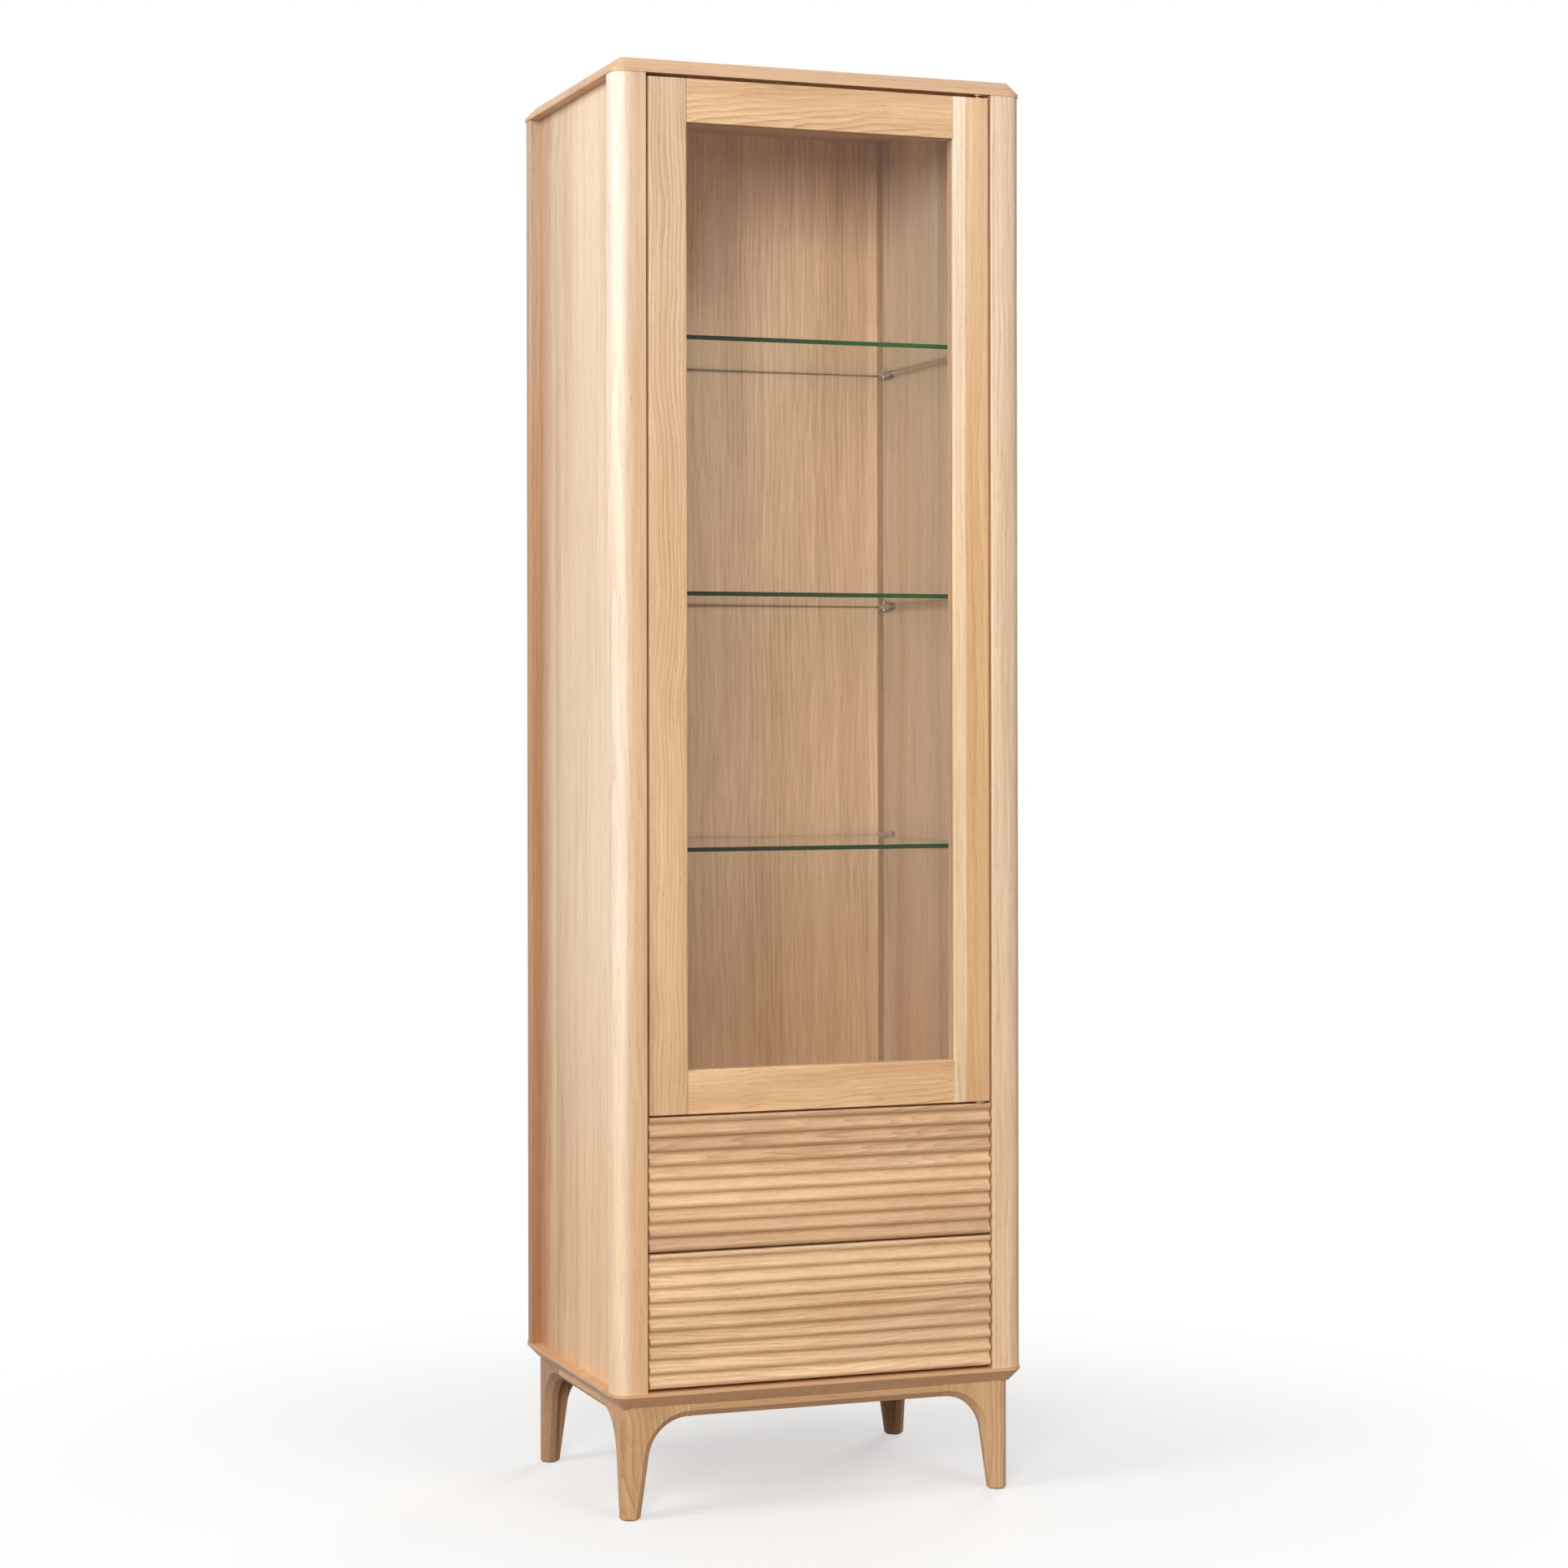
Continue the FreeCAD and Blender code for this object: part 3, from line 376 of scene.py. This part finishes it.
def dress_case():
    dress(oak("oak_top", "X", "Y", (220, 182, 146), shift=(3, 0.1, 0.2)), "top_panel")
    dress(oak("oak_base", "X", "Y", (228, 181, 139), shift=(5, 0.3, 0.9)), "bottom_panel")
    # Painted highlight: the pale mean and the edge tint keep the side and rounding cream and the front
    # deeper; the top is painted paler and cooler, the foot darker.
    dress(oak("oak_post_front_left", "Z", "X", (237, 213, 187), contrast=1.2, stave_width=0.2,
              edge_tint=(0.82, 0.68, 0.55, 1), edge_from=-0.296, edge_to=-0.268,
              head_tint=(1.0, 1.08, 1.2, 1), foot_tint=(1.0, 0.93, 0.83, 1)), "post_front_left")
    # Head and foot tints paint light and shade from top to foot; the front right post's right edge is painted
    # darker as shade. The back right post is made lighter everywhere but on its inner face in the inside
    # corner.
    posts = {
        "post_front_right": dict(mean=(239, 210, 179), head_tint=(0.94, 0.95, 0.95, 1),
                                 foot_tint=(1.03, 0.96, 0.88, 1), edge_tint=(0.7, 0.62, 0.54, 1),
                                 edge_from=0.289, edge_to=0.302),
        "post_back_left": dict(mean=(182, 140, 106), head_tint=(1.1, 1.38, 1.75, 1),
                               foot_tint=(0.8, 0.7, 0.62, 1)),
        "post_back_right": dict(mean=(190, 158, 128), head_tint=(1.1, 1.12, 1.15, 1),
                                foot_tint=(0.96, 0.9, 0.84, 1), edge_tint=(1.2, 1.32, 1.36, 1),
                                edge_from=0.2565, edge_to=0.2585)}
    for number, (name, tones_and_painted_light) in enumerate(posts.items()):
        dress(oak(f"oak_{name}", "Z", "X", contrast=1.5, shift=(7 + 7 * number, 0.17, 1.7 * number),
                  stave_width=0.2, **tones_and_painted_light), name)
    # The left side's edge tint is painted shade along its back edge next to the back post; head and foot
    # tints of both sides paint light and shade, darker and warmer towards the foot.
    sides = {
        "left": dict(mean=(236, 207, 176), edge_tint=(0.62, 0.5, 0.42, 1), head_tint=(0.96, 0.97, 0.97, 1),
                     foot_tint=(0.92, 0.81, 0.69, 1)),
        "right": dict(mean=(242, 214, 182), head_tint=(1.0, 1.06, 1.1, 1), foot_tint=(0.88, 0.82, 0.76, 1),
                      foot_from=1.0, foot_to=0.6)}
    for number, (side, tones_and_painted_light) in enumerate(sides.items()):
        dress(oak(f"oak_side_{side}", "Z", "Y", contrast=1.4, shift=(4 * number, 0, 2.0 * number), ring=0.2,
                  streak=0.6, drift=1.1, stave_width=0.11, edge_from=0.06, edge_to=0.2, **tones_and_painted_light),
              f"side_panel_{side}")
    # The foot tint is painted shade: the back panel darker and warmer in the lowest bay.
    dress(oak("oak_back", "Z", "X", (235, 199, 163), contrast=1.5, shift=(2, 0, 0), streak=0.6,
              fibre=1.3, drift=1.1, stave_width=0.12,
              foot_tint=(0.79, 0.74, 0.63, 1), foot_from=1.0, foot_to=0.6), "back_panel")
    dress(oak("oak_floor", "X", "Y", (214, 175, 138)), "display_floor")
    dress(oak("cleat_wood", "Y", "Z", (205, 168, 130)), "runner_cleats")


def dress_base():
    # The back legs' darker means are painted shade under the cabinet.
    tones_and_painted_light = {"front_left": (208, 164, 121), "front_right": (224, 183, 139),
             "back_left": (172, 132, 98), "back_right": (152, 113, 83)}
    for number, (place, mean) in enumerate(tones_and_painted_light.items()):
        dress(oak(f"oak_leg_{place}", "Z", "X", mean, contrast=1.5, shift=(6 * number, 0.07, 0.9 * number),
                  stave_width=0.6, ring=0.7, ring_width=0.008, warp=0.05, tilt=0.22), f"leg_{place}")
    for name, along in (("front", "X"), ("back", "X"), ("left", "Y"), ("right", "Y")):
        dress(oak(f"oak_apron_{name}", along, "Z", (212, 168, 126)), f"apron_{name}")


def dress_door():
    # Head and foot tints paint light and shade: paler, cooler tops and warmer feet. The right stile's edge
    # tint gives its two strips of wood.
    dress(oak("oak_stile_left", "Z", "X", (215, 177, 138), contrast=1.5, shift=(8, 0.3, 0.5),
              stave_width=0.3, ring=0.45, ring_width=0.006, warp=0.04, tilt=0.1,
              head_tint=(1.0, 1.1, 1.26, 1), foot_tint=(1.0, 0.95, 0.87, 1)), "door_stile_left")
    dress(oak("oak_stile_right", "Z", "X", (239, 207, 171), contrast=1.3, shift=(9, 0.1, 1.1),
              stave_width=0.5, edge_tint=(0.83, 0.68, 0.53, 1), edge_from=0.2145, edge_to=0.2185,
              head_tint=(1.06, 1.19, 1.38, 1)), "door_stile_right")
    one_board, aside = 5.0, 10
    for place, mean, level in (("top", (221, 180, 139), 1.97), ("bottom", (237, 193, 148), 0.57)):
        dress(oak(f"oak_rail_{place}", "X", "Z", mean, contrast=1.5, shift=(aside, 0, 0.4),
                  stave_width=one_board, pith=(aside + level, -0.17, 0), ring=0.6, ring_width=0.007,
                  warp=0.05, tilt=0.13), f"door_rail_{place}")
    dress(oak("oak_bead", "Z", "X", (214, 175, 138)), "glazing_beads")
    dress(clear_glass("door_pane", (0.985, 0.992, 0.99, 1)), "door_glass")


def dress_drawers():
    box_boards = (("side", "Y", "Z", ("drawer_side_left", "drawer_side_right")),
                  ("end", "X", "Z", ("drawer_back", "drawer_inner_front")),
                  ("bottom", "X", "Y", ("drawer_bottom",)))
    fronts = (("upper", (221, 182, 143), 0.445), ("lower", (233, 196, 156), 0.33))
    for number, (place, mean, pale_level) in enumerate(fronts):
        # The pale and dark bands are the wood's own; the negative hollow paints the flute valleys paler, as
        # painted light.
        dress(oak(f"oak_drawer_{place}", "X", "Z", mean, shift=(17 * number, 0.1, 0.8 * number),
                  contrast=1.1, ring=0.5, ring_width=0.006, warp=0.05, tilt=0.12, streak=1.2, fibre=1.5,
                  drift=0.6, stave_width=0.6, band=-0.28, band_width=0.15, band_middle=pale_level,
                  hollow=-0.1, hollow_from=-0.2235, hollow_to=-0.2175), f"drawer_front_{place}")
        for board, along, across, nodes in box_boards:
            dress(oak(f"box_{board}_{place}", along, across, (222, 192, 152), shift=(3 * number, 0.2, 0.6)),
                  *[f"{node}_{place}" for node in nodes])


def dress_fittings():
    dress(clear_glass("shelf_pane", (0.95, 0.98, 0.965, 1)), *[f"glass_shelf_{p}" for p in SHELVES])
    dress(metal("satin_nickel", (0.8, 0.8, 0.79, 1), 0.3), "cam_locks")
    dress(metal("bright_nickel", (0.66, 0.66, 0.65, 1), 0.06), *[f"shelf_supports_{p}" for p in SHELVES])
    dress(STEEL, "door_strike",
          *[f"slide_{rail}_{p}" for rail in ("rails", "middles", "inners") for p in DRAWERS])
    dress(metal("bronze_steel", tint(164, 128, 96), 0.4), "pivot_plate_upper", "pivot_plate_lower")
    dress(metal("bush_brass", (0.75, 0.58, 0.3, 1), 0.25), "pivot_bushes")
    dress(plastic("latch_grey", tint(92, 92, 90)), "door_latch_housing", "drawer_latch_housings",
          "door_latch_plunger", *[f"drawer_latch_plunger_{p}" for p in DRAWERS])


# Pieces that the construction leaves to this script

# Least part of a normal along an axis, for a face that looks along it.
FACING = 0.9
# Sides of a small round head.
ROUND = 24


def fresh_start():
    if bpy.context.mode != "OBJECT":
        bpy.ops.object.mode_set(mode="OBJECT")
    bpy.ops.object.select_all(action="DESELECT")


def pick_faces(piece, test):
    """Select the faces whose normal passes a test, and enter edit mode."""
    bpy.ops.object.mode_set(mode="EDIT")
    bpy.ops.mesh.select_mode(type="FACE")
    bpy.ops.mesh.select_all(action="DESELECT")
    bpy.ops.object.mode_set(mode="OBJECT")
    for face in piece.data.polygons:
        face.select = test(face.normal)
    bpy.ops.object.mode_set(mode="EDIT")


def hand_over(piece, name, material, body):
    """Leave a piece at the origin with its name, material and body."""
    fresh_start()
    piece.select_set(True)
    bpy.context.view_layer.objects.active = piece
    bpy.ops.object.transform_apply(location=True, rotation=True, scale=True)
    piece.name = name
    piece.data.name = name
    piece.data.materials.clear()
    piece.data.materials.append(material)
    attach(piece, body)


def set_out(master, places, turn):
    """Copies of a piece at several places, joined to one object."""
    made = []
    for place in places:
        fresh_start()
        master.select_set(True)
        bpy.context.view_layer.objects.active = master
        bpy.ops.object.duplicate(linked=False)
        copy = bpy.context.active_object
        copy.rotation_euler = turn
        copy.location = place
        bpy.ops.object.transform_apply(location=True, rotation=True, scale=True)
        made.append(copy)
    fresh_start()
    for copy in made:
        copy.select_set(True)
    bpy.context.view_layer.objects.active = made[0]
    bpy.ops.object.join()
    return bpy.context.active_object


# Green of the shelves' ground edges: at the left end, and of each shelf at the right end.
RIM_NEAR = tint(22, 34, 11)
# The glass is the same on each shelf; its edge is painted lighter on the upper shelf and darker lower down,
# as painted light and shade.
RIM_FAR = {"upper": tint(40, 98, 42), "middle": tint(38, 86, 36), "lower": tint(36, 70, 30)}


def shelf_rim(place):
    """Green ground edge around a glass shelf, with its arris at the top and bottom."""
    low, high = (Vector(corner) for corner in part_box(f"glass_shelf_{place}"))
    proud, sunk, arris, wall = 0.12 * MM, 0.05 * MM, 0.7 * MM, 1.5 * MM
    extent = high - low + 2 * Vector((proud, proud, -sunk))
    fresh_start()
    bpy.ops.mesh.primitive_cube_add(size=1.0, location=(low + high) / 2, scale=extent)
    rim = bpy.context.active_object
    bpy.ops.object.transform_apply(location=True, rotation=True, scale=True)
    pick_faces(rim, lambda normal: abs(normal.z) > FACING)
    bpy.ops.mesh.bevel(offset=arris, segments=1, affect="EDGES")
    pick_faces(rim, lambda normal: abs(normal.z) > FACING)
    bpy.ops.mesh.inset(thickness=wall)
    bpy.ops.mesh.bridge_edge_loops()
    edge = glass_edge(f"green_edge_{place}", RIM_NEAR, RIM_FAR[place])
    hand_over(rim, f"shelf_rim_{place}", edge, "cabinet")


def screw_master(radius, height):
    """Screw head with a cross recess, seen from +Z, with its seat on the origin."""
    rounding, slot_length, slot_width = 0.35 * height, 1.15 * radius, 0.26 * radius
    fresh_start()
    bpy.ops.mesh.primitive_cylinder_add(vertices=ROUND, radius=radius, depth=height,
                                        location=(0, 0, height / 2))
    head = bpy.context.active_object
    pick_faces(head, lambda normal: normal.z > FACING)
    bpy.ops.mesh.bevel(offset=rounding, segments=2, affect="EDGES")
    bpy.ops.object.mode_set(mode="OBJECT")
    for turn in (0, math.pi / 2):
        fresh_start()
        bpy.ops.mesh.primitive_cube_add(size=1.0, location=(0, 0, height), rotation=(0, 0, turn),
                                        scale=(slot_length, slot_width, height))
        cutter = bpy.context.active_object
        fresh_start()
        head.select_set(True)
        bpy.context.view_layer.objects.active = head
        recess = head.modifiers.new("recess", "BOOLEAN")
        recess.operation = "DIFFERENCE"
        recess.solver = "EXACT"
        recess.object = cutter
        bpy.ops.object.modifier_apply(modifier=recess.name)
        bpy.data.objects.remove(cutter)
    return head


def grub_master(radius, length):
    """Set screw with a socket, seen from +Z, with its end on the origin."""
    wall, socket_depth = 0.4 * radius, 0.5 * length
    fresh_start()
    bpy.ops.mesh.primitive_cylinder_add(vertices=ROUND, radius=radius, depth=length,
                                        location=(0, 0, -length / 2))
    grub = bpy.context.active_object
    pick_faces(grub, lambda normal: normal.z > FACING)
    bpy.ops.mesh.inset(thickness=wall)
    bpy.ops.mesh.extrude_region_move(TRANSFORM_OT_translate={"value": (0, 0, -socket_depth)})
    bpy.ops.object.mode_set(mode="OBJECT")
    return grub


def spread(first, last, count):
    """Evenly spaced values from the first to the last."""
    return [first + (last - first) * step / (count - 1) for step in range(count)]


TO_BACK = (-math.pi / 2, 0, 0)
DOWNWARD = (math.pi, 0, 0)
UPWARD = (0, 0, 0)


def screws():
    """Screws of the back panel, the pivot plates, the door latch and the drawer fronts."""
    head = screw_master(3.4 * MM, 0.7 * MM)

    def fix(places, turn, name, body="cabinet"):
        hand_over(set_out(head, places, turn), name, STEEL, body)

    low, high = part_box("back_panel")
    edge, end, count = 5 * MM, 60 * MM, 9
    fix([(x, high[1], z) for x in (low[0] + edge, high[0] - edge)
         for z in spread(low[2] + end, high[2] - end, count)], TO_BACK, "back_screws")
    plate = 2 * MM
    for place, turn in (("upper", DOWNWARD), ("lower", UPWARD)):
        low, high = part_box(f"pivot_plate_{place}")
        face = high[2] - plate if place == "upper" else low[2] + plate
        fix([((low[0] + high[0]) / 2, high[1] - back, face) for back in (6 * MM, 17 * MM)],
            turn, f"pivot_screws_{place}")
    low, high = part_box("door_latch_housing")
    fix([((low[0] + high[0]) / 2, y, low[2]) for y in (low[1] + 20 * MM, high[1] - 10 * MM)],
        DOWNWARD, "latch_screws")
    for place in DRAWERS:
        low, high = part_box(f"drawer_inner_front_{place}")
        fix([(x, high[1], low[2] + lift) for x in (-150 * MM, 150 * MM) for lift in (45 * MM, 105 * MM)],
            TO_BACK, f"front_screws_{place}", f"drawer_{place}")
    bpy.data.objects.remove(head)


def grub_screws():
    """Set screws under the shelf supports."""
    grub = grub_master(2.2 * MM, 2.4 * MM)
    drop, side_inset, end_inset = 8.6 * MM, 17 * MM, 9 * MM
    for place in SHELVES:
        low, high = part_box(f"shelf_supports_{place}")
        level = (low[2] + high[2]) / 2 - drop
        spots = [(x, y, level) for x in (low[0] + side_inset, high[0] - side_inset)
                 for y in (low[1] + end_inset, high[1] - end_inset)]
        hand_over(set_out(grub, spots, DOWNWARD), f"grub_screws_{place}", STEEL, "cabinet")
    bpy.data.objects.remove(grub)


# Studio

WHITE = (1, 1, 1, 1)
# The floor as the eye sees it, and as the object does, which keeps its light from colouring the wood.
FLOOR_SEEN, FLOOR_BOUNCE = (0.95, 0.95, 0.95, 1), (0.27, 0.225, 0.18, 1)
# How far from the cabinet's middle the floor begins to turn to plain white, and where it is all white.
SHADOW_NEAR, SHADOW_END = 0.35, 1.5
SKY_TINT, SKY_STRENGTH = (1.0, 0.985, 0.965, 1), 0.3
LAMP_WHITE = (1.0, 0.995, 0.98)


def sky():
    """Soft light all round, seen as plain white."""
    world = bpy.data.worlds.new("studio")
    SCENE.world = world
    world.use_nodes = True
    tree = world.node_tree
    soft = tree.nodes["Background"]
    soft.inputs["Color"].default_value = SKY_TINT
    soft.inputs["Strength"].default_value = SKY_STRENGTH
    white = add_node(tree, "ShaderNodeBackground")
    white.inputs["Color"].default_value = WHITE
    white.inputs["Strength"].default_value = 1.0
    mix_shaders(tree, seen_ray(tree), soft, white, "World Output")


def seen_ray(tree):
    """1 for what the camera sees, straight, through glass or in a gloss."""
    light = add_node(tree, "ShaderNodeLightPath")
    seen = math_node(tree, "MAXIMUM", light.outputs["Is Camera Ray"], light.outputs["Is Transmission Ray"])
    return math_node(tree, "MAXIMUM", seen, light.outputs["Is Glossy Ray"])


def studio_floor():
    """Pale floor that keeps the shadow near the cabinet and runs out to plain white."""
    fresh_start()
    bpy.ops.mesh.primitive_plane_add(size=24.0, location=(0, 0, 0))
    floor = bpy.context.active_object
    floor.name = "studio_floor"
    paper, tree, shader = new_material("floor_paper")
    seen = seen_ray(tree)
    plug(tree, blend(tree, seen, FLOOR_BOUNCE, FLOOR_SEEN), shader.inputs["Base Color"])
    shader.inputs["Roughness"].default_value = 0.9
    shader.inputs["Specular IOR Level"].default_value = 0.1
    white = add_node(tree, "ShaderNodeEmission")
    white.inputs["Color"].default_value = WHITE
    far = ramp(tree, vector_node(tree, "LENGTH", object_place(tree)), SHADOW_NEAR, SHADOW_END)
    share = math_node(tree, "MULTIPLY_ADD", far, 0.5, 0.5)
    mix_shaders(tree, math_node(tree, "MULTIPLY", share, seen), shader, white, "Material Output")
    floor.data.materials.append(paper)


def panel_lamp(name, place, aim, width, height, power):
    """Soft lamp at a place, turned to a height on the cabinet's middle line."""
    lamp = bpy.data.lights.new(name, "AREA")
    lamp.shape = "RECTANGLE"
    lamp.size = width
    lamp.size_y = height
    lamp.energy = power
    lamp.color = LAMP_WHITE
    holder = bpy.data.objects.new(name, lamp)
    holder.location = place
    holder.rotation_euler = (Vector((0, 0, aim)) - Vector(place)).to_track_quat("-Z", "Y").to_euler()
    SCENE.collection.objects.link(holder)


def photo_camera():
    """Camera at the photograph's viewing angle."""
    lens = bpy.data.cameras.new("photo_view")
    lens.sensor_width = 36.0
    lens.lens = 78.03
    lens.shift_x = -0.00714
    lens.shift_y = -0.0433
    lens.clip_end = 60.0
    camera = bpy.data.objects.new("photo_view", lens)
    camera.location = (-1.6776, -4.6405, 1.1001)
    camera.rotation_euler = (math.radians(90), math.radians(0.1), math.radians(-20.336))
    SCENE.collection.objects.link(camera)
    SCENE.camera = camera


dress_case()
dress_base()
dress_door()
dress_drawers()
dress_fittings()
for shelf in SHELVES:
    shelf_rim(shelf)
screws()
grub_screws()

SCENE.view_settings.view_transform = "Standard"
sky()
studio_floor()
panel_lamp("key_left", (-3.6, -0.9, 3.1), aim=1.5, width=1.6, height=2.0, power=84)
panel_lamp("fill_front", (-2.4, -4.6, 2.3), aim=1.1, width=1.6, height=1.6, power=138)
panel_lamp("fill_high", (1.3, -4.0, 3.7), aim=1.5, width=1.6, height=1.2, power=50)
panel_lamp("rear_right", (2.9, 3.2, 1.7), aim=1.0, width=1.6, height=1.6, power=66)
photo_camera()
